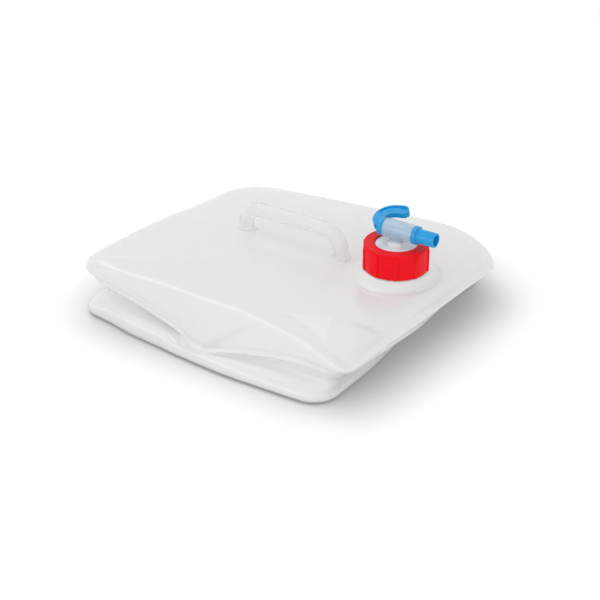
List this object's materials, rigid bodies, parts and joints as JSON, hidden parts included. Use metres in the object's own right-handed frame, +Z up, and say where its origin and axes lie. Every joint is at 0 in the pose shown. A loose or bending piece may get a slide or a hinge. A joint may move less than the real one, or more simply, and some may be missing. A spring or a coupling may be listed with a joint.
{
  "type": "collapsible water carrier",
  "caption": "Square folding water container of milky translucent film, lying collapsed, with a moulded carrying handle and a screw-on ring nut that holds a barrel tap with a hooked lever.",
  "frame": {"origin": "on the floor, under the middle of the folded bag, at the base_rest mount", "axes": "+Z up, +X from the carrying handle to the filler neck and the spout, +Y to the back"},
  "size_m": [0.2798, 0.2732, 0.095],
  "materials": {
    "milky_film": "soft milky translucent film with a gentle gloss",
    "red_plastic": "satin moulded",
    "blue_plastic": "glossy moulded",
    "translucent_plastic": "natural translucent, smooth",
    "gasket_rubber": "matt"
  },
  "bodies": {
    "base": {"bottom_panel": "milky_film", "front_wall": "milky_film", "right_wall": "milky_film", "back_wall": "milky_film", "left_wall": "milky_film"},
    "top": {"top_panel": "milky_film", "filler_neck": "milky_film", "carry_handle": "milky_film"},
    "tap": {"tap_body": "translucent_plastic", "gasket": "gasket_rubber"},
    "ring": {"ring_nut": "red_plastic"},
    "spindle": {"tap_spindle": "blue_plastic"}
  },
  "joints": [
    {"name": "unfold", "type": "slide", "parent": "base", "child": "top", "axis": [0, 0, 1], "range_m": [0, 0.19], "deforming": ["front_wall", "right_wall", "back_wall", "left_wall"]},
    {"name": "tap_lift", "type": "slide", "parent": "top", "child": "tap", "axis": [0, 0, 1], "range_m": [0, 0.015]},
    {"name": "ring_turn", "type": "hinge", "parent": "tap", "child": "ring", "pos_m": [0.0912, 0, 0.0523], "axis": [0, 0, 1], "range_deg": [0, 1080]},
    {"name": "spindle_turn", "type": "hinge", "parent": "tap", "child": "spindle", "pos_m": [0.0912, 0, 0.0842], "axis": [1, 0, 0], "range_deg": [0, 90]}
  ],
  "couplings": [
    {"joint": "tap_lift", "follows": "ring_turn", "m_per_rad": 0.00079577}
  ]
}
